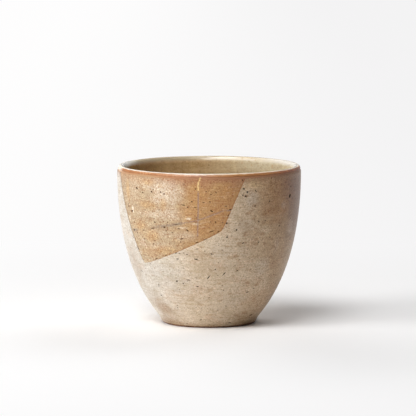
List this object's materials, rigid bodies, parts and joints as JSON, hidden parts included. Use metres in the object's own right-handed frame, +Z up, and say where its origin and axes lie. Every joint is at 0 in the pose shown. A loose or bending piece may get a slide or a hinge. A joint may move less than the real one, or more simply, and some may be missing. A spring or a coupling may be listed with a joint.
{
  "type": "tea cup",
  "caption": "Handleless thrown stoneware tea cup on a small turned foot, with pale ash glaze outside, a slanted orange window, an iron line under the lip and a glossy inside.",
  "frame": {"origin": "centre of the foot, on the surface that the cup stands on", "axes": "+Z up along the cup's turning axis; -Y is the side with the middle of the cup towards the viewer, with the orange window at its upper left"},
  "size_m": [0.088, 0.0879, 0.0756],
  "materials": {
    "clay": "bare iron-bearing stoneware, fired brown, matte",
    "inside_glaze": "glossy olive-beige ash glaze, paler on the lip",
    "iron": "iron-red line, satin",
    "ash_glaze": "pale speckled ash glaze, satin",
    "orange_glaze": "thin pitted orange glaze, satin"
  },
  "bodies": {
    "root": {"clay_body": "clay", "inside_glaze": "inside_glaze", "iron_line": "iron", "outside_glaze": "ash_glaze", "orange_glaze": "orange_glaze"}
  },
  "joints": []
}
